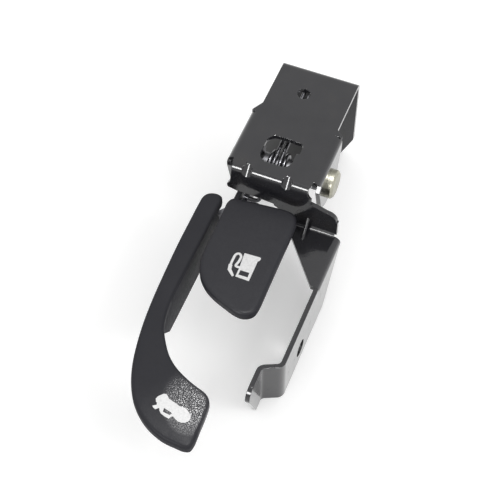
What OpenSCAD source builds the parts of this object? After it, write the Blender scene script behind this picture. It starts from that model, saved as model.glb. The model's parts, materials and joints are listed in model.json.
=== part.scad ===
// Fuel door and trunk release lever: a stamped steel bracket with two sprung hand levers on one pivot pin.
// Millimetres. X runs from the bracket to the lever tips, Z is up, and the mounting leg is on the +Y side.
// The origin is the centre of the leg's bolt hole, on the face that clamps to the car body.

/* [Show] */
// one node, or all

/* [Bracket sheet] */
// sheet thickness
sheet = 1.6; // [1.4:0.1:1.8]
// inside radius of every bend
bend_in = 1.0; // [0.8:0.1:1.2]
// plate length over the two flanges
plate_long = 52.9; // [52:0.1:54]
// left side of the plate's narrow rear part, from the middle plane
rear_left = 14.8; // [14:0.1:15]
// right side of the plate's narrow rear part, from the middle plane
rear_right = 14.3; // [14:0.1:15]
// left ear's outer face, from the middle plane
ear_left = 17.4; // [17:0.1:17.6]
// right ear's outer face, from the middle plane
ear_right = 17.0; // [16.8:0.1:17.4]
// where the ears begin, behind the front face
step_back = 26.4; // [26:0.1:27]
// height of the rear flange, to its foot
rear_tall = 42.0; // [41:0.1:43]
// height of the rear flange's straight sides
rear_side = 31.0; // [29:0.1:32]
// width of the rear flange's foot
rear_foot = 19.2; // [18:0.1:22]
// plate locating hole diameter
plate_hole = 4.8; // [4:0.1:5.5]
// plate locating hole from the rear face
plate_hole_at = 12.8; // [11:0.1:14]
// spring window length along X
window_long = 12.3; // [10:0.1:12.5]
// spring window width along Y, without its side lobe
window_wide = 11.9; // [11:0.1:12.5]
// spring window centre behind the front face
window_back = 12.5; // [12:0.1:12.8]

/* [Front flange, web and leg] */
// level of the web's top face below the plate
web_drop = 21.0; // [20.5:0.1:21.5]
// length of the web along the leg
web_long = 22.8; // [20:0.1:25]
// outer face of the leg from the bracket's middle plane
leg_out = 27.2; // [26.8:0.1:27.6]
// height of the leg
leg_tall = 21.0; // [20.5:0.1:21.5]
// reach of the foot's nose ahead of the front face
foot_ahead = 69.7; // [68:0.1:71]
// inward jog of the foot
foot_jog = 6.6; // [6:0.1:7]
// angle of the jog's two bends
jog_angle = 65; // [55:1:70]
// where the jog starts, ahead of the front face
jog_ahead = 53.6; // [52:0.1:55]
// leg bolt hole diameter
bolt_hole = 6.6; // [6.4:0.1:7]
// leg bolt hole ahead of the front face
bolt_ahead = 39.3; // [37:0.1:42]
// leg bolt hole below the plate
bolt_drop = 34.6; // [33:0.1:35.5]

/* [Pivot] */
// pivot pin diameter
pin_d = 6.0; // [5.8:0.1:6.2]
// pivot centre behind the front face
pivot_back = 14.7; // [14.5:0.1:14.9]
// pivot centre below the plate
pivot_drop = 12.0; // [11.8:0.1:12.2]
// ear radius round the pivot
ear_round = 9.0; // [8.5:0.1:9.5]
// pin head diameter
head_d = 10.5; // [9.5:0.1:11]
// pin head thickness
head_thick = 2.6; // [2:0.1:3]
// radial running clearance of the lever hubs on the pin
hub_clear = 0.05; // [0.03:0.01:0.08]
// spring sleeve outside diameter
sleeve_d = 7.8; // [7.4:0.1:7.9]

/* [Lever arms] */
// arm sheet thickness
arm_thick = 1.8; // [1.6:0.1:1.9]
// hub radius round the pivot
hub_r = 6.3; // [6:0.1:6.6]
// gap between the two hubs
hub_gap = 1.2; // [1.1:0.1:1.4]
// level of the gooseneck's top edge below the plate
neck_drop = 20.8; // [20.6:0.1:21.2]
// cable nipple slot diameter
nipple_d = 4.2; // [3.8:0.1:4.6]
// cable core slot width
core_slot = 1.8; // [1.6:0.1:2.2]
// conduit seat diameter in the rear flange
conduit_d = 5.0; // [4.6:0.1:5.4]
// conduit side entry width
conduit_slot = 3.6; // [3.2:0.1:4.2]
// fuel cable line below the plate
fuel_cable = 24.5; // [24:0.1:25]
// trunk cable line below the plate
trunk_cable = 33.0; // [32.5:0.1:33.5]

/* [Knobs] */
// level of the fuel knob's top face below the plate
fuel_drop = 11.0; // [10.8:0.1:11.4]
// level of the trunk knob's top face below the plate
trunk_drop = 13.5; // [13.2:0.1:13.8]
// depth of the knob rims
rim_deep = 3.4; // [3.2:0.1:3.8]
// moulded wall thickness
wall = 1.6; // [1.4:0.1:1.8]
// rounding of the knobs' top edge
knob_round = 1.5; // [1.2:0.1:1.7]
// depth of the trunk knob's sheath below the plate
sheath_deep = 30.6; // [30:0.1:31]

/* [Springs] */
// spring wire diameter
wire_d = 1.5; // [1.4:0.1:1.6]
// mean coil radius
coil_r = 4.9; // [4.8:0.1:5]
// coil pitch
coil_pitch = 1.58; // [1.56:0.01:1.7]

/* [Hidden] */
$fn = 48;
bend_out = bend_in + sheet;
// the front face stays put and the plate's length moves its rear face
front_at = 51.7;
rear_at = front_at - plate_long;
step_at = front_at - step_back;
window_at = front_at - window_back;
pivot_at = front_at - pivot_back;
bolt_at = front_at + bolt_ahead;
jog_at = front_at + jog_ahead;
foot_reach = front_at + foot_ahead;
ear_in = ear_right - sheet;
leg_in = leg_out - sheet;
leg_low = web_drop + leg_tall;
web_end = front_at + web_long;
flange_in = front_at - sheet;
seat = 0.02;
face_gap = 0.05;
trunk_y = 3.1 - ear_left;
trunk_y1 = trunk_y + arm_thick;
fuel_y = trunk_y1 + hub_gap;
fuel_y1 = fuel_y + arm_thick;
sheath_y = -19.1;
tongue_y = -3.9;

// everything is drawn with the front face at front_at and then set on the leg's bolt hole
module place() {
    translate([-bolt_at, -leg_out, bolt_drop]) children();
}

// a flat profile drawn in X and Z, given thickness along Y from y0 to y1
module side(y0, y1) {
    translate([0, y1, 0]) rotate([90, 0, 0]) linear_extrude(y1 - y0) children();
}

// a flat profile drawn in Y and Z, given thickness along X from x0 to x1
module front(x0, x1) {
    translate([x0, 0, 0]) rotate([90, 0, 90]) linear_extrude(x1 - x0) children();
}

// a quarter of a bend: centre at the origin, in the quadrant where both coordinates are positive
module quarter() {
    intersection() {
        difference() {
            circle(bend_out);
            circle(bend_in);
        }
        square(bend_out);
    }
}

// a cylinder along Y through a point of the side view
module cross(x, z, d, y0, y1) {
    translate([x, y1, -z]) rotate([90, 0, 0]) cylinder(d = d, h = y1 - y0);
}

// Bracket: one stamping

module plate_flat() {
    difference() {
        translate([0, 0, -sheet]) linear_extrude(sheet) difference() {
            union() {
                translate([rear_at + bend_out, -rear_left])
                    square([step_at + 1 - rear_at - bend_out, rear_left + rear_right]);
                translate([step_at - 1, -ear_left + bend_out])
                    square([front_at - bend_out - step_at + 1, ear_left + ear_right - 2 * bend_out]);
                // slanted shoulders in front of the ears
                polygon([[step_at - 4.6, -rear_left], [step_at - 0.4, -ear_left + 0.3], [step_at, -ear_left + 0.3],
                         [step_at, -rear_left + 1], [step_at - 4.6, -rear_left + 1]]);
                polygon([[step_at - 2.6, rear_right], [step_at - 0.3, ear_right - 0.3], [step_at, ear_right - 0.3],
                         [step_at, rear_right - 1], [step_at - 2.6, rear_right - 1]]);
            }
            translate([rear_at + plate_hole_at, -2.6]) circle(d = plate_hole);
            window_2d();
        }
    }
}

// the spring window: four rounded corners and a small lobe on its right side
module window_2d() {
    translate([window_at, -1.3]) {
        square([window_long - 7, window_wide], center = true);
        square([window_long, window_wide - 7], center = true);
        for (x = [-1, 1], y = [-1, 1])
            translate([x * (window_long / 2 - 3.5), y * (window_wide / 2 - 3.5)]) circle(3.5);
        translate([-window_long / 2 + 0.2, 0]) square([4.8, window_wide / 2 - 0.6]);
        translate([-window_long / 2 + 1.8, 0]) square([3.2, window_wide / 2 + 1.1]);
        translate([-window_long / 2 + 1.8, window_wide / 2 - 0.5]) circle(1.6);
    }
}

module rear_flange() {
    // the bend
    side(-rear_left, rear_right) translate([rear_at + bend_out, -bend_out]) mirror([1, 0]) quarter();
    // the flange, narrowing to its foot, with a side entry and a round seat for each cable conduit
    front(rear_at, rear_at + sheet) difference() {
        polygon([[-rear_left, -bend_out], [rear_right, -bend_out], [rear_right, -rear_side],
                 [rear_foot / 2, -rear_tall], [-rear_foot / 2, -rear_tall], [-rear_left, -rear_side]]);
        conduit_2d(-9, fuel_cable);
        conduit_2d(-9.5, trunk_cable);
    }
}

module conduit_2d(y, z) {
    translate([y, -z]) circle(d = conduit_d);
    translate([-2 * rear_left, -z - conduit_slot / 2]) square([y + 2 * rear_left, conduit_slot]);
}

module ear_2d() {
    polygon([[step_at, -bend_out], [front_at - 3.5, -bend_out], [front_at - 3.5, -4.5],
             [pivot_at + ear_round * cos(12), -pivot_drop - ear_round * sin(12)],
             [pivot_at - ear_round * cos(18), -pivot_drop - ear_round * sin(18)], [step_at, -5.5]]);
    translate([pivot_at, -pivot_drop]) circle(ear_round);
}

// one ear, with its outer face that far out
module ear(out) {
    front(step_at, front_at - 4.1) translate([out - bend_out, -bend_out]) quarter();
    side(out - sheet, out) ear_2d();
}

module flange_2d() {
    difference() {
        union() {
            // the left part, down to the slot for the arms
            polygon([[-14.4, -bend_out], [15, -bend_out], [15, -7.4], [13.6, -14.8], [-6.4, -12.9], [-12.2, -12.9],
                     [-15.8, -12.1], [-16.1, -10.6], [-14.9, -8.6]]);
            // the shoulder on the leg's side, down to the web's bend
            polygon([[1.6, -14.4], [13.6, -7.2], [17.4, -8.1], [leg_out - 6.2, -9.4], [leg_out - 6.2, -20],
                     [6.2, -20], [5.4, -16.5]]);
            translate([leg_out - 6.2, -13.4]) circle(4);
            translate([leg_out - 6.2, -20]) square([4.4, 6.6]);
        }
    }
}

module front_flange() {
    side(-14.4, 15) translate([front_at - bend_out, -bend_out]) quarter();
    front(flange_in, front_at) flange_2d();
    // bend into the web
    side(6.2, leg_in - bend_in) translate([front_at + bend_in, -web_drop + bend_in]) rotate(180) quarter();
}

module web() {
    translate([0, 0, -web_drop - sheet]) linear_extrude(sheet)
        polygon([[front_at + bend_in, 6.2], [front_at + 6.7, 11.4], [web_end, leg_in - bend_in - 0.4],
                 [web_end, leg_out - bend_out], [front_at + bend_in, leg_out - bend_out]]);
    // the long bend into the leg
    front(front_at + 0.2, web_end) translate([leg_out - bend_out, -web_drop - bend_out]) quarter();
}

module leg() {
    side(leg_in, leg_out) difference() {
        union() {
            polygon([[front_at + 0.2, -web_drop - bend_out], [front_at + 15.8, -leg_low], [jog_at, -leg_low],
                     [jog_at, -web_drop - bend_out]]);
            translate([web_end, -web_drop - bend_out]) square([jog_at - web_end, bend_out]);
        }
        translate([bolt_at, -bolt_drop]) circle(d = bolt_hole);
    }
}

module upright() {
    translate([0, 0, -leg_low]) linear_extrude(leg_tall) children();
}

module ring_2d(r) {
    difference() {
        circle(r + sheet / 2);
        circle(r - sheet / 2);
    }
}

// the foot: two equal and opposite bends, then a flat nose cut back below
module foot() {
    r = 2.4;
    run = (foot_jog - 2 * r * (1 - cos(jog_angle))) / sin(jog_angle);
    mid = leg_out - sheet / 2;
    x1 = jog_at + r * sin(jog_angle);
    y1 = mid - r * (1 - cos(jog_angle));
    x2 = x1 + run * cos(jog_angle);
    y2 = y1 - run * sin(jog_angle);
    x3 = x2 + r * sin(jog_angle);
    intersection() {
        union() {
            upright() intersection() {
                translate([jog_at, mid - r]) ring_2d(r);
                translate([jog_at, mid - r]) polygon([[-seat, 0], [-seat, 9], [9 * sin(jog_angle), 9],
                                                      [9 * sin(jog_angle), 9 * cos(jog_angle)]]);
            }
            upright() translate([x1, y1]) rotate(-jog_angle) translate([-seat, -sheet / 2])
                square([run + 2 * seat, sheet]);
            upright() intersection() {
                translate([x3, mid - foot_jog + r]) ring_2d(r);
                translate([x3, mid - foot_jog + r]) polygon([[seat, 0], [seat, -9], [-9 * sin(jog_angle), -9],
                                                             [-9 * sin(jog_angle), -9 * cos(jog_angle)]]);
            }
            upright() translate([x3, mid - foot_jog - sheet / 2]) square([foot_reach - x3, sheet]);
        }
        side(leg_out - 12, leg_out + 1) {
            polygon([[jog_at - 1, -web_drop + 1], [foot_reach - 4, -web_drop + 1], [foot_reach - 4, -web_drop - 2],
                     [foot_reach - 0.4, -web_drop - 5.5], [foot_reach - 6.6, -leg_low - 1], [jog_at - 1, -leg_low - 1]]);
            translate([foot_reach - 4, -web_drop - 4]) circle(4);
        }
    }
}

module dart(y) {
    translate([front_at - 0.5, y, -0.2]) rotate([0, 135, 0]) translate([0, 0, -5]) children();
}

module bracket() color([0.05, 0.05, 0.055]) place() difference() {
    union() {
        difference() {
            union() {
                plate_flat();
                rear_flange();
                ear(ear_right);
                mirror([0, 1, 0]) ear(ear_left);
                front_flange();
            }
            for (y = [-8.8, 5.9]) dart(y) cylinder(r = 1.9, h = 10);
        }
        // the sheet pushed in behind each stiffening dart
        intersection() {
            for (y = [-8.8, 5.9]) dart(y) difference() {
                cylinder(r = 1.9 + sheet, h = 10);
                translate([0, 0, -1]) cylinder(r = 1.9, h = 12);
            }
            translate([front_at - 6, -20, -6]) cube([6 - sheet / 2, 40, 6 - sheet / 2]);
        }
        web();
        leg();
        foot();
        // the rib across the web's bend
        intersection() {
            translate([front_at, 14.6, -web_drop + 4.6]) rotate([0, 135, 0]) translate([0, 0, -1]) cylinder(r = 0.6, h = 9);
            translate([front_at - 0.4, 10, -web_drop - 0.4]) cube([8, 10, 8]);
        }
    }
    cross(pivot_at, pivot_drop, pin_d + 2 * seat, -40, 40);
    // small notches in the rear bend, and the round relief at the right-hand front corner
    for (y = [-9.4, 6.9]) translate([rear_at, y, -bend_out - 1]) cylinder(r = 0.7, h = bend_out + 2);
    translate([front_at - 0.7, 16.2, -1.5]) rotate([0, 45, 0]) translate([0, 0, -4.4]) cylinder(r = 2.6, h = 9);
}

// Pivot

module pivot_pin() color([0.82, 0.78, 0.62]) place() {
    cross(pivot_at, pivot_drop, pin_d, -ear_left - 0.9, ear_right);
    translate([pivot_at, ear_right + seat, -pivot_drop]) rotate([-90, 0, 0])
        rotate_extrude() polygon([[0, -0.5], [pin_d / 2, -0.5], [pin_d / 2, 0], [head_d / 2, 0],
                                  [head_d / 2, head_thick - 0.8], [head_d / 2 - 0.8, head_thick], [0, head_thick]]);
    // the end spread over its washer
    translate([pivot_at, -ear_left - 0.9, -pivot_drop]) rotate([90, 0, 0])
        rotate_extrude() polygon([[0, -0.5], [pin_d / 2, -0.5], [pin_d / 2, 0], [4.1, 0.05], [3.7, 1.0], [2.2, 1.6], [0, 1.6]]);
}

module pin_washer() color([0.8, 0.8, 0.82]) place() difference() {
    cross(pivot_at, pivot_drop, 11, -ear_left - 0.85, -ear_left - seat);
    cross(pivot_at, pivot_drop, pin_d + 2 * seat, -40, 0);
}

module ear_washer() color([0.75, 0.75, 0.78]) place() difference() {
    cross(pivot_at, pivot_drop, 11.4, -ear_left + sheet + seat, trunk_y - face_gap);
    cross(pivot_at, pivot_drop, pin_d + 2 * seat, -40, 0);
}

module hub_washer() color([0.75, 0.75, 0.78]) place() difference() {
    cross(pivot_at, pivot_drop, 11.4, trunk_y1 + face_gap, fuel_y - face_gap);
    cross(pivot_at, pivot_drop, pin_d + 2 * seat, -40, 0);
}

module spring_sleeve() color([0.7, 0.7, 0.72]) place() difference() {
    cross(pivot_at, pivot_drop, sleeve_d, fuel_y1 + face_gap, ear_in - seat);
    cross(pivot_at, pivot_drop, pin_d + 2 * seat, -40, 40);
}

// Lever arms

module fuel_arm_2d() {
    polygon([[31, -12], [33.2, -27.2], [34.4, -28.4], [39.4, -28.4], [42.4, -26], [66, -26], [68.5, -21],
             [91, -17], [91, -fuel_drop - wall - 0.3], [66.5, -fuel_drop - wall - 0.3], [63, -neck_drop],
             [45.4, -neck_drop], [43.1, -12]]);
}

module trunk_arm_2d() {
    polygon([[31, -12], [33, -36], [34.2, -37.2], [39, -37.2], [40.6, -30], [44, -28], [99, -28],
             [103, -24], [103, -16.5], [66, -16.5], [63, -neck_drop], [45.4, -neck_drop], [43.1, -12]]);
}

// a keyhole for the cable's end piece, open to the rear edge
module nipple(z) {
    cross(36.6, z, nipple_d, -30, 30);
    translate([25, -30, -z - core_slot / 2]) cube([11.6, 60, core_slot]);
}

// plan of a pressed arm: from one plane to another between x0 and x1
module arm_plan(ya, yb, x0, x1, end) {
    polygon([[20, ya], [x0, ya], [x1, yb], [end, yb], [end, yb + arm_thick],
             [x1 - 0.4 * sign(yb - ya), yb + arm_thick], [x0 - 0.4 * sign(yb - ya), ya + arm_thick], [20, ya + arm_thick]]);
}

module arm(y, shift_y, x0, x1, end, heel, cable) {
    difference() {
        union() {
            intersection() {
                side(-24, 4) children();
                translate([0, 0, -45]) linear_extrude(46) arm_plan(y, shift_y, x0, x1, end);
            }
            cross(pivot_at, pivot_drop, 2 * hub_r, y, y + arm_thick);
            // the heel that stops under the plate
            side(y, y + arm_thick) polygon([[28.6, -heel], [32.2, -heel], [40.6, -7.2], [37, -12], [31.2, -9.5]]);
        }
        cross(pivot_at, pivot_drop, pin_d + 2 * hub_clear, -30, 30);
        nipple(cable);
    }
}

module fuel_arm() color([0.42, 0.42, 0.44]) place()
    arm(fuel_y, tongue_y, 53, 63, 91, sheet + face_gap, fuel_cable) fuel_arm_2d();
module trunk_arm() color([0.42, 0.42, 0.44]) place()
    arm(trunk_y, sheath_y, 53.2, 59.2, 103, sheet + 0.35, trunk_cable) trunk_arm_2d();

// Knobs

// a round stub with a rounded top edge, h deep under the level z
module stub(x, y, r, z, h, soft) {
    translate([x, y, -z - h]) cylinder(r = r, h = h - soft, $fn = 32);
    translate([x, y, -z - soft]) cylinder(r = r - soft * 0.08, h = soft * 0.4, $fn = 32);
    translate([x, y, -z - soft]) cylinder(r = r - soft * 0.32, h = soft * 0.75, $fn = 32);
    translate([x, y, -z - soft]) cylinder(r = r - soft * 0.9, h = soft, $fn = 32);
}

module fuel_corners(inset, z, h, soft) hull() {
    stub(58.7, -10.4, 2.6 - inset, z, h, soft);
    stub(58.1, 8.6, 4.1 - inset, z, h, soft);
    stub(94.6, 8.2, 4.5 - inset, z, h, soft);
    stub(82.6, -2.3, 10.5 - inset, z, h, soft);
    stub(87, -0.5, 8.3 - inset, z, h, soft);
}

module fuel_knob() color([0.09, 0.09, 0.1]) place() difference() {
    union() {
        difference() {
            fuel_corners(0, fuel_drop, rim_deep, knob_round);
            fuel_corners(wall, fuel_drop + wall, rim_deep, 0.5);
        }
        // the socket that grips the arm
        translate([66, tongue_y - 1.8, -fuel_drop - 7.4]) cube([27, arm_thick + 3.6, 7.4 - wall + 0.4]);
        for (x = [66.5, 75.5, 84.5]) translate([x, -11.4, -fuel_drop - rim_deep + 0.6])
            cube([1.2, 23, rim_deep - wall]);
    }
    translate([60, tongue_y - seat, -fuel_drop - 12]) cube([31 + seat, arm_thick + 2 * seat, 12 - wall - 0.3 + seat]);
}

// the stations of the long knob: x, y, radius and how far its top falls, along its straight arm, its bend
// and its thumb pad, which slopes down to its two inner corners
function station(i) = [[58.5, -19.4, 3.7, 0], [75, -19.3, 3.55, 0], [92, -19.1, 3.2, 0], [101, -18.8, 2.95, 0],
    [110, -17.4, 3.45, 0], [116.8, -15.4, 4.45, 0], [122.4, -12.8, 5.75, 0], [127.8, -9.2, 7.6, 0],
    [133.5, -4.6, 9.8, 0.15], [139, 2, 9.1, 0.7], [145.6, 8.5, 2.5, 2], [129.9, 7.6, 2.9, 1.9]][i];

module trunk_stub(s, inset, z, h, soft) {
    stub(s[0], s[1], s[2] - inset, z + s[3], h - s[3], soft);
}

module trunk_body(inset, z, h, soft) {
    for (i = [0 : 7]) hull() {
        trunk_stub(station(i), inset, z, h, soft);
        trunk_stub(station(i + 1), inset, z, h, soft);
    }
    hull() for (i = [8 : 11]) trunk_stub(station(i), inset, z, h, soft);
}

module trunk_knob() color([0.09, 0.09, 0.1]) place() difference() {
    union() {
        difference() {
            trunk_body(0, trunk_drop, rim_deep, knob_round);
            trunk_body(wall, trunk_drop + wall, rim_deep, 0.4);
        }
        // the sheath round the arm
        side(sheath_y - wall, sheath_y + arm_thick + wall)
            polygon([[61.4, -trunk_drop - 0.8], [59.6, -21], [68, -sheath_deep], [104, -sheath_deep],
                     [111, -22], [111, -trunk_drop - 0.8]]);
    }
    side(sheath_y - seat, sheath_y + arm_thick + seat)
        polygon([[50, -16.5 + seat], [103 + seat, -16.5 + seat], [103 + seat, -40], [50, -40]]);
}

// Springs: a turn and a quarter each, a long leg under the plate and a hooked leg on the lever arm

// a straight piece of wire between two points, with a round start
module wire(a, b) {
    d = b - a;
    len = norm(d);
    translate(a) sphere(d = wire_d, $fn = 10);
    translate(a) rotate([0, acos(d[2] / len), atan2(d[1], d[0])]) cylinder(d = wire_d, h = len, $fn = 10);
}

// the coil starts at the top of the sleeve and turns forward and down
module coil(y, turns, dir) {
    n = round(turns * 18);
    for (i = [0 : n - 1]) hull() for (k = [i, i + 1])
        translate([pivot_at + coil_r * sin(k * 20), y + dir * coil_pitch * k / 18, -pivot_drop + coil_r * cos(k * 20)])
            rotate([0, k * 20, 0]) rotate([0, 90, 0]) cylinder(d = wire_d, h = 0.02, center = true, $fn = 10);
}

module fuel_spring() color([0.6, 0.6, 0.62]) place() {
    y0 = -3.4;
    y1 = y0 - coil_pitch * 1.25;
    coil(y0, 1.25, -1);
    wire([pivot_at, y0, -pivot_drop + coil_r], [rear_at + 8, y0, -sheet - wire_d / 2 - face_gap]);
    wire([pivot_at + coil_r, y1, -pivot_drop], [pivot_at + coil_r + 0.3, y1, -pivot_drop - 0.6]);
    wire([pivot_at + coil_r + 0.3, y1, -pivot_drop - 0.6], [48.2, y1, -neck_drop + wire_d / 2 + face_gap]);
    wire([48.2, y1, -neck_drop + wire_d / 2 + face_gap], [48.2, fuel_y + 0.2, -neck_drop + wire_d / 2 + face_gap]);
}

module trunk_spring() color([0.6, 0.6, 0.62]) place() {
    y0 = -1.3;
    y1 = y0 + coil_pitch * 1.25;
    coil(y0, 1.25, 1);
    wire([pivot_at, y0, -pivot_drop + coil_r], [rear_at + 8, y0, -sheet - wire_d / 2 - face_gap]);
    wire([pivot_at + coil_r, y1, -pivot_drop], [43.2, y1, -31.5]);
    wire([43.2, y1, -31.5], [41.6, trunk_y + 0.3, -31.5]);
}

bracket();
pivot_pin();
pin_washer();
ear_washer();
hub_washer();
spring_sleeve();
fuel_arm();
trunk_arm();
fuel_knob();
trunk_knob();
fuel_spring();
trunk_spring();
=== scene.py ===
# Looks for the fuel door and trunk release lever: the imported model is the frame, and pieces ride on its bodies.
import json
import math

import bmesh
import bpy
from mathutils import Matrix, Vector
from mathutils.geometry import delaunay_2d_cdt

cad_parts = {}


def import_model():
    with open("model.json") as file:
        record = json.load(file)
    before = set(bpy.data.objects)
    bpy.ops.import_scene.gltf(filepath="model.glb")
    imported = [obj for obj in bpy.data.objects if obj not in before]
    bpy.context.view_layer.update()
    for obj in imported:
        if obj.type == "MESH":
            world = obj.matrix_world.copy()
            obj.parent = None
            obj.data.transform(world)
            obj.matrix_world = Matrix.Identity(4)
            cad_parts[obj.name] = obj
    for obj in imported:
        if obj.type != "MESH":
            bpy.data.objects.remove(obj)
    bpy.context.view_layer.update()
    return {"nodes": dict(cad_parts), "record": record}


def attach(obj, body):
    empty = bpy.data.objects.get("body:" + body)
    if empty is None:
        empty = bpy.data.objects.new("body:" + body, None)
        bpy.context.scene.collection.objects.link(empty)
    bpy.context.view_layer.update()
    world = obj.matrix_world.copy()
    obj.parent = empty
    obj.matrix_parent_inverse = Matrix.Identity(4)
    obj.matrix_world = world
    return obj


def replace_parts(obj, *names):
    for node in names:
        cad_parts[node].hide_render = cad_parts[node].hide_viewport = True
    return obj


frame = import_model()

nodes = frame["nodes"]


def at(x, y, z=0.0):
    """A point of the drawing, in millimetres, as metres in the row frame."""
    return Vector(((x - 91.0) / 1000, (y - 27.2) / 1000, (z + 34.6) / 1000))


def body_of(node):
    for name, members in frame["record"]["behaviour"]["bodies"].items():
        if node in members:
            return name
    return "root"


# Materials

class Shade:
    """A Principled material with helpers for noise, colour ramps and bump, all in object metres."""

    def __init__(self, name, base, rough, metal=0.0, **more):
        self.mat = bpy.data.materials.new(name)
        self.mat.use_nodes = True
        self.tree = self.mat.node_tree
        self.out = self.tree.nodes["Principled BSDF"]
        self.out.inputs["Base Color"].default_value = (*base, 1)
        self.out.inputs["Roughness"].default_value = rough
        self.out.inputs["Metallic"].default_value = metal
        for key, value in more.items():
            self.out.inputs[key.replace("_", " ")].default_value = value
        self.coord = self.node("ShaderNodeTexCoord").outputs["Object"]
        self.normal = None

    def node(self, kind, **props):
        n = self.tree.nodes.new(kind)
        for key, value in props.items():
            setattr(n, key, value)
        return n

    def link(self, a, b):
        self.tree.links.new(a, b)

    def stretched(self, scale):
        m = self.node("ShaderNodeMapping")
        m.inputs["Scale"].default_value = scale
        self.link(self.coord, m.inputs["Vector"])
        return m.outputs["Vector"]

    def noise(self, size_mm, detail=4.0, rough=0.55, stretch=None, distort=0.0):
        n = self.node("ShaderNodeTexNoise")
        n.inputs["Scale"].default_value = 1000.0 / size_mm
        n.inputs["Detail"].default_value = detail
        n.inputs["Roughness"].default_value = rough
        n.inputs["Distortion"].default_value = distort
        self.link(self.stretched(stretch) if stretch else self.coord, n.inputs["Vector"])
        return n.outputs["Fac"]

    def cells(self, size_mm, feature="DISTANCE_TO_EDGE", random=1.0, wobble=None):
        n = self.node("ShaderNodeTexVoronoi", feature=feature)
        n.inputs["Scale"].default_value = 1000.0 / size_mm
        n.inputs["Randomness"].default_value = random
        source = self.coord
        if wobble:
            small = self.node("ShaderNodeTexNoise")
            small.inputs["Scale"].default_value = 1000.0 / (size_mm * 1.7)
            self.link(self.coord, small.inputs["Vector"])
            mix = self.node("ShaderNodeMixRGB", blend_type="ADD")
            mix.inputs["Fac"].default_value = wobble * size_mm / 1000
            self.link(self.coord, mix.inputs["Color1"])
            self.link(small.outputs["Color"], mix.inputs["Color2"])
            source = mix.outputs["Color"]
        self.link(source, n.inputs["Vector"])
        return n.outputs["Distance"]

    def ramp(self, value, stops):
        r = self.node("ShaderNodeValToRGB")
        while len(r.color_ramp.elements) < len(stops):
            r.color_ramp.elements.new(0.5)
        for element, (place, colour) in zip(r.color_ramp.elements, stops):
            element.position = place
            element.color = (*colour, 1) if hasattr(colour, "__len__") else (colour,) * 3 + (1,)
        self.link(value, r.inputs["Fac"])
        return r.outputs["Color"]

    def mixed(self, fac, a, b, kind="MIX"):
        m = self.node("ShaderNodeMixRGB", blend_type=kind)
        for value, socket in ((fac, m.inputs["Fac"]), (a, m.inputs["Color1"]), (b, m.inputs["Color2"])):
            if hasattr(value, "is_output"):
                self.link(value, socket)
            elif socket.type == "VALUE":
                socket.default_value = value
            else:
                socket.default_value = (*value, 1)
        return m.outputs["Color"]

    def colour(self, source):
        self.link(source, self.out.inputs["Base Color"])

    def roughness(self, source):
        self.link(source, self.out.inputs["Roughness"])

    def soft_edges(self, radius_mm):
        b = self.node("ShaderNodeBevel", samples=6)
        b.inputs["Radius"].default_value = radius_mm / 1000
        self.normal = b.outputs["Normal"]

    def bump(self, height, depth_mm, strength=1.0):
        b = self.node("ShaderNodeBump")
        b.inputs["Strength"].default_value = strength
        b.inputs["Distance"].default_value = depth_mm / 1000
        self.link(height, b.inputs["Height"])
        if self.normal:
            self.link(self.normal, b.inputs["Normal"])
        self.normal = b.outputs["Normal"]
        self.link(self.normal, self.out.inputs["Normal"])
        self.link(self.normal, self.out.inputs["Coat Normal"])


def black_paint():
    s = Shade("black_paint", (0.018, 0.018, 0.021), 0.24, Specular_IOR_Level=0.1, Coat_Weight=1.0, Coat_IOR=1.52, Coat_Roughness=0.07)
    s.soft_edges(0.3)
    tone = s.ramp(s.noise(9, 5), [(0.3, (0.013, 0.013, 0.016)), (0.55, (0.018, 0.018, 0.021)), (0.75, (0.024, 0.022, 0.022))])
    specks = s.ramp(s.noise(0.5, 2, 0.7), [(0.0, 0.0), (0.74, 0.0), (0.8, 1.0)])
    s.colour(s.mixed(specks, tone, (0.06, 0.056, 0.052)))
    s.roughness(s.ramp(s.noise(3.5, 6, 0.65), [(0.25, 0.17), (0.6, 0.25), (0.8, 0.38)]))
    s.bump(s.noise(1.6, 3), 0.05, 0.35)
    s.bump(s.noise(0.35, 3, 0.6), 0.012, 0.5)
    return s.mat


def knob_plastic(name, worn=False):
    """Leather-grained plastic. The worn kind is polished in an oval on the thumb pad, where it glints."""
    lift = 0.014 if worn else 0.0
    s = Shade(name, (0.016, 0.016, 0.021), 0.5, Specular_IOR_Level=0.08 if worn else 0.2, Coat_Weight=0.12, Coat_Roughness=0.24)
    s.colour(s.ramp(s.noise(14, 4), [(0.3, (0.0135 + lift, 0.0135 + lift, 0.0185 + lift)), (0.7, (0.017 + lift, 0.017 + lift, 0.022 + lift))]))
    dull = s.ramp(s.noise(1.2, 4), [(0.3, 0.5), (0.7, 0.64)])
    polish = 0.0
    if worn:
        oval = s.node("ShaderNodeMapping", vector_type="TEXTURE")
        oval.inputs["Location"].default_value = at(133.2, 4.4, -34.6)
        oval.inputs["Rotation"].default_value = (0, 0, math.radians(22))
        oval.inputs["Scale"].default_value = (0.0125, 0.009, 1)
        s.link(s.coord, oval.inputs["Vector"])
        far = s.node("ShaderNodeVectorMath", operation="LENGTH")
        s.link(oval.outputs["Vector"], far.inputs[0])
        polish = s.ramp(far.outputs["Value"], [(0.3, 1.0), (0.95, 0.0)])
        s.link(s.ramp(polish, [(0.0, 0.04), (1.0, 0.8)]), s.out.inputs["Coat Weight"])
    s.roughness(s.mixed(polish, dull, s.ramp(s.noise(1.2, 4), [(0.3, 0.22), (0.7, 0.32)])))
    grain = s.ramp(s.cells(0.75, wobble=0.8), [(0.0, 0.0), (0.16, 0.75), (0.5, 1.0)])
    s.bump(grain, 0.045, 0.15 if worn else 0.3)
    if worn:
        s.bump(s.mixed(polish, (0.5, 0.5, 0.5), grain), 0.045, 0.9)
    s.bump(s.noise(0.22, 3, 0.6), 0.02, 0.5)
    return s.mat


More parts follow.
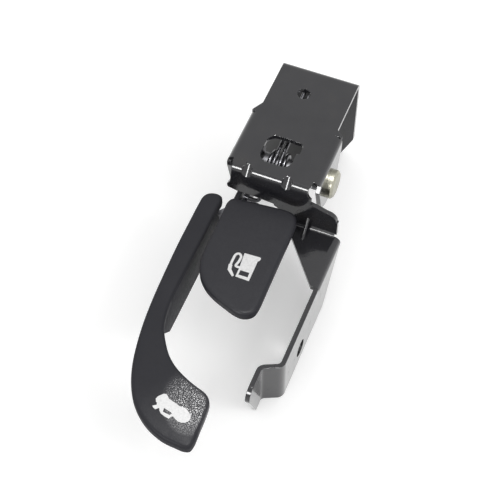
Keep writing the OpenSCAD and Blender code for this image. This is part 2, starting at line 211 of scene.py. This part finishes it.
def metal(name, base, rough, grain=(1, 1, 1), tint=None):
    s = Shade(name, base, rough, 1.0)
    dark = tuple(c * 0.72 for c in base)
    s.colour(s.ramp(s.noise(2.5, 6, 0.6), [(0.3, dark), (0.6, base), (0.85, tint or base)]))
    s.roughness(s.ramp(s.noise(1.1, 5, 0.6, grain), [(0.3, rough - 0.08), (0.7, rough + 0.14)]))
    s.bump(s.noise(0.5, 4, 0.6, grain), 0.012, 0.5)
    return s.mat


def print_white():
    s = Shade("white_print", (0.7, 0.7, 0.7), 0.45)
    s.colour(s.ramp(s.noise(0.7, 4), [(0.3, (0.62, 0.62, 0.62)), (0.6, (0.74, 0.74, 0.74))]))
    s.bump(s.noise(0.4, 3), 0.01, 0.4)
    return s.mat


M = {
    "black_paint": black_paint(),
    "knob_plastic": knob_plastic("knob_plastic"),
    "pad_plastic": knob_plastic("pad_plastic", worn=True),
    "yellow_zinc": metal("yellow_zinc", (0.42, 0.41, 0.34), 0.36, tint=(0.47, 0.48, 0.41)),
    "zinc": metal("zinc", (0.2, 0.2, 0.21), 0.4),
    "arm_steel": metal("arm_steel", (0.13, 0.13, 0.14), 0.36, (1, 1, 4)),
    "spring_steel": metal("spring_steel", (0.16, 0.16, 0.17), 0.26),
    "white_print": print_white(),
}


# Mesh tools

def add_piece(name, bm, mats, body, smooth_angle=38):
    bmesh.ops.recalc_face_normals(bm, faces=bm.faces)
    mesh = bpy.data.meshes.new(name)
    bm.to_mesh(mesh)
    bm.free()
    obj = bpy.data.objects.new(name, mesh)
    bpy.context.scene.collection.objects.link(obj)
    for m in mats:
        mesh.materials.append(M[m])
    mesh.shade_smooth()
    mesh.set_sharp_from_angle(angle=math.radians(smooth_angle))
    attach(obj, body)
    return obj


def spline(points, step=0.6, closed=True):
    """A smooth curve through points of any dimension, as points about step apart."""
    n = len(points)
    pts = [Vector(p) for p in points]
    out = []
    for i in range(n if closed else n - 1):
        if closed:
            p0, p1, p2, p3 = (pts[(i + k - 1) % n] for k in range(4))
        else:
            p0, p1, p2, p3 = (pts[max(0, min(n - 1, i + k - 1))] for k in range(4))
        a = max((p1 - p0).length, 1e-6) ** 0.5
        b = max((p2 - p1).length, 1e-6) ** 0.5
        c = max((p3 - p2).length, 1e-6) ** 0.5
        t1 = ((p1 - p0) / a - (p2 - p0) / (a + b) + (p2 - p1) / b) * b if p0 != p1 else p2 - p1
        t2 = ((p2 - p1) / b - (p3 - p1) / (b + c) + (p3 - p2) / c) * b if p3 != p2 else p2 - p1
        m = max(1, round((p2 - p1).length / step))
        for k in range(m):
            t = k / m
            out.append(p1 * (2 * t**3 - 3 * t**2 + 1) + t1 * (t**3 - 2 * t**2 + t) + p2 * (3 * t**2 - 2 * t**3) + t2 * (t**3 - t**2))
    if not closed:
        out.append(pts[-1])
    return out


def rounded(corners, step=0.6):
    """A closed outline of straight sides with a round at each corner (x, y, radius), drawn anticlockwise."""
    out = []
    n = len(corners)
    for i in range(n):
        p, q, r = (Vector(corners[(i + k - 1) % n][:2]) for k in range(3))
        rad = corners[i][2]
        a, b = (p - q).normalized(), (r - q).normalized()
        half = a.angle(b) / 2
        cut = rad / math.tan(half)
        centre = q + (a + b).normalized() * (rad / math.sin(half))
        s, e = q + a * cut - centre, q + b * cut - centre
        turn = s.angle_signed(e)
        m = max(3, round(abs(turn) * rad / step))
        for k in range(m + 1):
            ang = -turn * k / m
            out.append(centre + Vector((s.x * math.cos(ang) - s.y * math.sin(ang), s.x * math.sin(ang) + s.y * math.cos(ang))))
    return resampled(out, step)


def resampled(points, step):
    out = []
    n = len(points)
    for i in range(n):
        p, q = points[i], points[(i + 1) % n]
        m = max(1, round((q - p).length / step))
        out += [p.lerp(q, k / m) for k in range(m)]
    return out


def normals_in(points):
    """Inward unit normals of an anticlockwise outline."""
    n = len(points)
    res = []
    for i in range(n):
        t = points[(i + 1) % n] - points[i - 1]
        res.append(Vector((-t.y, t.x)).normalized())
    return res


def inside(pt, poly):
    hit = False
    n = len(poly)
    for i in range(n):
        a, b = poly[i], poly[i - 1]
        if (a.y > pt.y) != (b.y > pt.y) and pt.x < (b.x - a.x) * (pt.y - a.y) / (b.y - a.y) + a.x:
            hit = not hit
    return hit


def fill(bm, ring, verts, top, grid, drop=0.0, mat=0):
    """Closes a ring with a fine triangle net whose height follows top(x, y)."""
    xs, ys = [p.x for p in ring], [p.y for p in ring]
    extra = []
    x = min(xs) + grid / 2
    row = 0
    while x < max(xs):
        y = min(ys) + grid * (0.5 if row % 2 else 1.0)
        while y < max(ys):
            p = Vector((x, y))
            if inside(p, ring) and min((p - q).length_squared for q in ring) > (grid * 0.55) ** 2:
                extra.append(p)
            y += grid
        x += grid * 0.87
        row += 1
    pts = list(ring) + extra
    edges = [(i, (i + 1) % len(ring)) for i in range(len(ring))]
    out, _, faces, *_ = delaunay_2d_cdt(pts, edges, [], 1, 1e-6)
    made = list(verts)
    for p in out[len(ring):]:
        made.append(bm.verts.new(at(p.x, p.y, top(p.x, p.y) - drop)))
    for f in faces:
        try:
            face = bm.faces.new([made[i] for i in f])
            face.material_index = mat
        except ValueError:
            pass


def shell(outline, top, depth, rounding, wall, bm=None, grid=1.6, draft=0.0, lip=0.35):
    """A moulded cap: rounded top edge, straight skirt with a small lip, and a hollow underside."""
    bm = bm or bmesh.new()
    inward = normals_in(outline)
    steps = 7
    rows = [(draft * 0 + lip * 0.5, depth), (0.0, depth - lip * 0.5)]
    rows += [(draft + rounding * (1 - math.cos(math.radians(a))), rounding * (1 - math.sin(math.radians(a))))
             for a in [90 * k / steps for k in range(steps + 1)]]

    def ring(inset, fall, level=None):
        res, flat = [], []
        for p, n in zip(outline, inward):
            q = p + n * inset
            flat.append(q)
            res.append(bm.verts.new(at(q.x, q.y, top(p.x, p.y) - fall)))
        return res, flat

    rings = [ring(*r) for r in rows]
    for (a, _), (b, _) in zip(rings, rings[1:]):
        for i in range(len(a)):
            j = (i + 1) % len(a)
            bm.faces.new([a[i], a[j], b[j], b[i]])
    fill(bm, rings[-1][1], rings[-1][0], top, grid)
    # the hollow
    low, _ = ring(wall - lip * 0.5, depth)
    mid, _ = ring(wall, depth - lip * 0.5)
    up, _ = ring(wall, wall + 0.5)
    roof, flat = ring(wall + 0.5, wall)
    for a, b in ((rings[0][0], low), (low, mid), (mid, up), (up, roof)):
        for i in range(len(a)):
            j = (i + 1) % len(a)
            bm.faces.new([a[j], a[i], b[i], b[j]])
    fill(bm, flat, roof, top, grid * 1.6, wall)
    return bm


def block(bm, lo, hi, soft=0.2):
    """A box with small rounded edges, between two corners in drawing millimetres."""
    part = bmesh.new()
    bmesh.ops.create_cube(part, size=1)
    for v in part.verts:
        v.co = at(*[lo[i] + (v.co[i] + 0.5) * (hi[i] - lo[i]) for i in range(3)])
    bmesh.ops.bevel(part, geom=part.edges[:], offset=soft / 1000, segments=2, profile=0.6, affect="EDGES")
    temp = bpy.data.meshes.new("t")
    part.to_mesh(temp)
    bm.from_mesh(temp)
    part.free()
    bpy.data.meshes.remove(temp)


def slab(bm, profile, y0, y1, soft=0.25):
    """A side profile in X and Z with rounded edges, thick along Y."""
    part = bmesh.new()
    vs = [part.verts.new(at(x, y0, z)) for x, z in profile]
    face = part.faces.new(vs)
    grown = bmesh.ops.extrude_face_region(part, geom=[face])
    for v in grown["geom"]:
        if isinstance(v, bmesh.types.BMVert):
            v.co.y += (y1 - y0) / 1000
    bmesh.ops.recalc_face_normals(part, faces=part.faces)
    edges = [e for e in part.edges if e.calc_face_angle(0) > 0.5]
    bmesh.ops.bevel(part, geom=edges, offset=soft / 1000, segments=3, profile=0.5, affect="EDGES")
    temp = bpy.data.meshes.new("t")
    part.to_mesh(temp)
    bm.from_mesh(temp)
    part.free()
    bpy.data.meshes.remove(temp)


def rod(name, path, d, mat, body, sides=14, step=0.35):
    """Round wire along drawing points, with square-cut ends."""
    pts = spline([Vector(p) for p in path], step, closed=False)
    bm = bmesh.new()
    rings = []
    side = None
    for i, p in enumerate(pts):
        t = (pts[min(i + 1, len(pts) - 1)] - pts[max(i - 1, 0)]).normalized()
        side = (side - t * side.dot(t)).normalized() if side else t.orthogonal().normalized()
        up = t.cross(side)
        rings.append([bm.verts.new(at(*(p + (side * math.cos(a) + up * math.sin(a)) * d / 2)))
                      for a in [2 * math.pi * k / sides for k in range(sides)]])
    for a, b in zip(rings, rings[1:]):
        for i in range(sides):
            j = (i + 1) % sides
            bm.faces.new([a[i], a[j], b[j], b[i]])
    for r in (rings[0], rings[-1]):
        bm.faces.new(r)
    return add_piece(name, bm, [mat], body)


# Knobs

def fuel_top(x, y):
    return -11.0 - 0.0006 * ((x - 78) ** 2 * 0.25 + y * y) * 1.0


FUEL = [(70, -12.95), (80.5, -12.75), (85.2, -12.0), (89.5, -10.1), (93.1, -6.9), (95.7, -2.8), (97.6, 2.1), (98.9, 6.2),
        (99.05, 8.9), (98.1, 11.1), (96.5, 12.4), (94.0, 12.9), (85, 12.85), (72, 12.65), (61, 12.5), (57.2, 12.2),
        (55.0, 10.9), (54.0, 8.7), (54.0, 6.2), (54.5, 0), (55.2, -6), (55.7, -10.4), (56.2, -12.2), (58.3, -13.2), (62, -13.1)]


def fuel_knob():
    outline = spline([Vector(p) for p in FUEL], 0.55)
    bm = shell(outline, fuel_top, 3.4, 1.25, 1.4)
    block(bm, (66, -5.7, -18.35), (91.3, -0.3, -12.4))
    for x, y in ((66.5, -11.3), (75.5, -11.3), (84.5, -10.6)):
        block(bm, (x, y, -13.8), (x + 1.2, 11.3, -12.4))
    o = add_piece("fuel_knob_cap", bm, ["knob_plastic"], body_of("fuel_knob"))
    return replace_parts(o, "fuel_knob")


def trunk_top(x, y):
    # the thumb pad falls away towards its inner edge
    s = max(0.0, (x - 128) * 0.66 + (y + 4) * 0.75)
    return -13.5 - 0.13 * s * s / (s + 5)


TRUNK = [(59.5, -15.85), (57.2, -15.8), (55.4, -16.4), (54.7, -18.1), (55.0, -20.3), (56.1, -22.0), (58.0, -22.9), (60.5, -23.04),
         (68, -23.04), (80, -22.9), (92, -22.4), (103, -21.75), (112.5, -20.75), (121.1, -19.25), (128.3, -17.4), (134.4, -14.95),
         (139.4, -11.9), (143.2, -8.1), (145.9, -3.8), (147.7, 1.7), (148.0, 6.5), (147.95, 9.2), (147.2, 10.9), (145.2, 11.5),
         (140, 11.4), (135, 11.3), (130.9, 10.8), (129.3, 9.8), (128.2, 8.15), (127.3, 4.95), (126.1, 1.3), (123.9, -3.3),
         (120.7, -7.4), (116.2, -10.9), (110.8, -13.9), (103, -15.55), (94, -15.95), (84, -15.8), (72, -15.7)]


def trunk_knob():
    outline = spline([Vector(p) for p in TRUNK], 0.55)
    bm = shell(outline, trunk_top, 3.4, 1.25, 1.4)
    slab(bm, [(61.4, -14.6), (59.6, -21), (68, -30.5), (104, -30.5), (111, -22), (111, -14.6)], -20.7, -15.75, 0.3)
    o = add_piece("trunk_knob_cap", bm, ["pad_plastic"], body_of("trunk_knob"))
    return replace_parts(o, "trunk_knob")


# Signs: flat white prints on the knobs, with holes where the dark plastic shows

def sign(name, shapes, top, body, lift=0.04):
    bm = bmesh.new()
    for outer, hole in shapes:
        ring = [Vector(p) for p in outer]
        pts, edges = list(ring), [(i, (i + 1) % len(ring)) for i in range(len(ring))]
        if hole:
            n = len(pts)
            pts += [Vector(p) for p in hole]
            edges += [(n + i, n + (i + 1) % len(hole)) for i in range(len(hole))]
        out, _, faces, *_ = delaunay_2d_cdt(pts, edges, [], 1, 1e-6)
        vs = [bm.verts.new(at(p.x, p.y, top(p.x, p.y) + lift)) for p in out]
        for f in faces:
            c = sum((out[i] for i in f), Vector((0, 0))) / len(f)
            if not (hole and inside(c, [Vector(p) for p in hole])):
                bm.faces.new([vs[i] for i in f])
    for f in bm.faces:
        f.normal_update()
        if f.normal.z < 0:
            f.normal_flip()
    res = bmesh.ops.extrude_face_region(bm, geom=bm.faces[:])
    for v in res["geom"]:
        if isinstance(v, bmesh.types.BMVert):
            v.co.z -= (lift + 0.05) / 1000
    return add_piece(name, bm, ["white_print"], body)


def band(path, width, step=0.35):
    """The outline of a line of even width along a smooth path."""
    pts = spline([Vector(p) for p in path], step, closed=False)
    left, right = [], []
    for i, p in enumerate(pts):
        t = (pts[min(i + 1, len(pts) - 1)] - pts[max(i - 1, 0)]).normalized()
        n = Vector((-t.y, t.x)) * width / 2
        left.append(p + n)
        right.append(p - n)
    return right + left[::-1]


def fuel_sign():
    case = [(76.4, 0.7), (76.1, 6.3), (76.5, 6.75), (77.3, 6.6), (78.0, 6.1), (86.3, 6.25), (86.25, 1.35), (82.8, 1.3)]
    window = [(83.3, 2.0), (83.2, 5.2), (85.1, 5.3), (85.2, 2.0)]
    hose = [(82.4, 1.6), (82.3, -0.1), (80.2, 0.2), (78.0, 0.1), (77.3, -0.9), (78.0, -1.8), (80.0, -2.0), (83.0, -1.9)]
    nozzle = [(82.4, -2.6), (84.7, -2.1), (86.7, 0.3), (86.1, 0.8), (84.0, -1.0), (82.4, -1.3)]
    return sign("fuel_sign", [(case, window), (band(hose, 0.85), None), (nozzle, None)], fuel_top, body_of("fuel_knob"))


def trunk_sign():
    car = [(139.0, -2.9), (139.8, -2.5), (140.5, -1.7), (140.9, -0.3), (141.1, 1.2), (140.1, 1.8), (139.9, 2.3), (140.4, 3.2),
           (140.8, 4.3), (140.7, 5.4), (140.3, 6.4), (139.6, 7.2), (138.4, 7.5), (137.4, 7.2), (136.5, 6.1), (135.9, 5.0),
           (135.8, 3.9), (135.9, 2.7), (135.4, 0.8), (135.0, -1.3), (134.4, -1.9), (133.8, -2.7), (134.1, -3.6), (134.8, -4.2),
           (135.6, -4.9), (136.6, -5.2), (137.5, -4.7), (137.8, -3.9)]
    glass = [(138.4, -1.5), (139.0, 1.6), (139.9, 1.0), (139.7, -1.4)]
    lid = [(139.1, -5.2), (139.6, -4.8), (139.9, -3.9), (139.2, -3.2), (138.9, -2.9), (137.9, -3.4), (137.4, -4.3), (138.4, -4.1)]
    return sign("trunk_sign", [(car, glass), (lid, None)], trunk_top, body_of("trunk_knob"))


# Springs

def coil_path(y, turns, way, start):
    path = [start]
    n = round(turns * 24)
    for k in range(n + 1):
        a = math.radians(k * 15)
        path.append((37 + 4.9 * math.sin(a), y + way * 1.58 * k / 24, -12 + 4.9 * math.cos(a)))
    return path


def springs():
    y1 = -3.4 - 1.58 * 1.25
    path = coil_path(-3.4, 1.25, -1, (6.9, -3.4, -2.4))
    path += [(42.2, y1, -12.6), (45.6, y1, -16.8), (47.6, y1, -19.6), (48.2, y1 - 0.7, -20.0), (48.2, -11.05, -20.0)]
    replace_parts(rod("fuel_spring_wire", path, 1.5, "spring_steel", body_of("fuel_spring")), "fuel_spring")
    y1 = -1.3 + 1.58 * 1.25
    path = coil_path(-1.3, 1.25, 1, (6.9, -1.3, -2.4))
    path += [(42.1, y1, -14), (42.9, y1, -27), (43.2, y1 - 0.4, -30.8), (43.0, y1 - 1.4, -31.5), (41.6, -13.9, -31.5)]
    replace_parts(rod("trunk_spring_wire", path, 1.5, "spring_steel", body_of("trunk_spring")), "trunk_spring")


# CAD nodes that stay get their own finish

FINISH = {"bracket": "black_paint", "pivot_pin": "yellow_zinc", "pin_washer": "zinc", "ear_washer": "zinc",
          "hub_washer": "zinc",
          "spring_sleeve": "zinc", "fuel_arm": "arm_steel", "trunk_arm": "arm_steel"}


def dress_nodes():
    for name, mat in FINISH.items():
        o = nodes[name]
        o.data.materials.clear()
        o.data.materials.append(M[mat])


# Studio

def seen_rays(tree):
    """1 for rays from the camera and for those that mirror or pass on what it sees, 0 for diffuse light."""
    path = tree.nodes.new("ShaderNodeLightPath")
    value = path.outputs["Is Camera Ray"]
    for kind in ("Is Glossy Ray", "Is Transmission Ray"):
        most = tree.nodes.new("ShaderNodeMath")
        most.operation = "MAXIMUM"
        tree.links.new(value, most.inputs[0])
        tree.links.new(path.outputs[kind], most.inputs[1])
        value = most.outputs[0]
    return value


def floor():
    bm = bmesh.new()
    bmesh.ops.create_grid(bm, x_segments=1, y_segments=1, size=3.0)
    mesh = bpy.data.meshes.new("floor")
    bm.to_mesh(mesh)
    bm.free()
    o = bpy.data.objects.new("floor", mesh)
    bpy.context.scene.collection.objects.link(o)
    o.location = (0, 0, -0.0074)
    s = Shade("floor_white", (0.86, 0.86, 0.86), 0.8)
    # Painted shadow: a soft dark oval painted into the floor's colour and glow under and behind the bracket, darkest at
    # its centre, so the floor seen through the plate's window stays dark.
    shade = s.node("ShaderNodeMapping")
    shade.inputs["Location"].default_value = (0.087 / 0.03, 0.0385 / 0.017, 0)
    shade.inputs["Scale"].default_value = (1 / 0.03, 1 / 0.017, 0)
    s.link(s.coord, shade.inputs["Vector"])
    far = s.node("ShaderNodeVectorMath", operation="LENGTH")
    s.link(shade.outputs["Vector"], far.inputs[0])
    painted_shadow = s.ramp(far.outputs["Value"], [(0.45, 0.04), (1.0, 1.0)])
    pale = s.ramp(s.noise(60, 3), [(0.3, (0.84, 0.84, 0.84)), (0.7, (0.87, 0.87, 0.865))])
    s.colour(s.mixed(1.0, pale, painted_shadow, "MULTIPLY"))
    lit = s.node("ShaderNodeEmission")
    both = s.node("ShaderNodeMath", operation="MULTIPLY")
    s.link(seen_rays(s.tree), both.inputs[0])
    both.inputs[1].default_value = 0.3
    s.link(painted_shadow, lit.inputs["Color"])
    s.link(both.outputs[0], lit.inputs["Strength"])
    add = s.node("ShaderNodeAddShader")
    s.link(s.out.outputs["BSDF"], add.inputs[0])
    s.link(lit.outputs["Emission"], add.inputs[1])
    s.link(add.outputs[0], s.tree.nodes["Material Output"].inputs["Surface"])
    mesh.materials.append(s.mat)


def world():
    w = bpy.data.worlds.new("studio")
    bpy.context.scene.world = w
    w.use_nodes = True
    t = w.node_tree
    bg = t.nodes["Background"]
    bg.inputs["Color"].default_value = (1, 1, 1, 1)
    level = t.nodes.new("ShaderNodeMapRange")
    level.inputs["To Min"].default_value = 0.88
    level.inputs["To Max"].default_value = 1.0
    t.links.new(seen_rays(t), level.inputs["Value"])
    t.links.new(level.outputs["Result"], bg.inputs["Strength"])


def lamp(name, azimuth, height, size, power, target=(-0.01, -0.03, 0.01), reflection_only=False):
    """A round soft light 0.8 m away, placed by its azimuth and elevation in degrees."""
    az, el = math.radians(azimuth), math.radians(height)
    away = Vector((math.cos(az) * math.cos(el), math.sin(az) * math.cos(el), math.sin(el)))
    data = bpy.data.lights.new(name, "AREA")
    data.shape = "DISK"
    data.size = size
    data.energy = power
    o = bpy.data.objects.new(name, data)
    bpy.context.scene.collection.objects.link(o)
    o.location = Vector(target) + away * 0.8
    o.rotation_euler = away.to_track_quat("Z", "Y").to_euler()
    o.visible_diffuse = not reflection_only


def camera():
    data = bpy.data.cameras.new("camera")
    data.sensor_width = 36
    data.lens = 1255 / 500 * 36
    data.clip_start = 0.01
    o = bpy.data.objects.new("camera", data)
    bpy.context.scene.collection.objects.link(o)
    az, el, dist = math.radians(22.0), math.radians(56.06), 0.4125
    back = Vector((math.cos(el) * math.cos(az), math.cos(el) * math.sin(az), math.sin(el)))
    o.location = at(81.4, 4.7, 0) + back * dist
    o.rotation_euler = (-back).to_track_quat("-Z", "Y").to_euler()
    bpy.context.scene.camera = o


fuel_knob()
trunk_knob()
fuel_sign()
trunk_sign()
springs()
dress_nodes()
floor()
world()
lamp("side_light", 83, 42, 0.3, 1.3)
lamp("front_card", -16, 36, 0.3, 4.6, reflection_only=True)
lamp("top_card", 150, 84, 0.12, 4.5, reflection_only=True)
camera()
bpy.context.scene.view_settings.view_transform = "Standard"
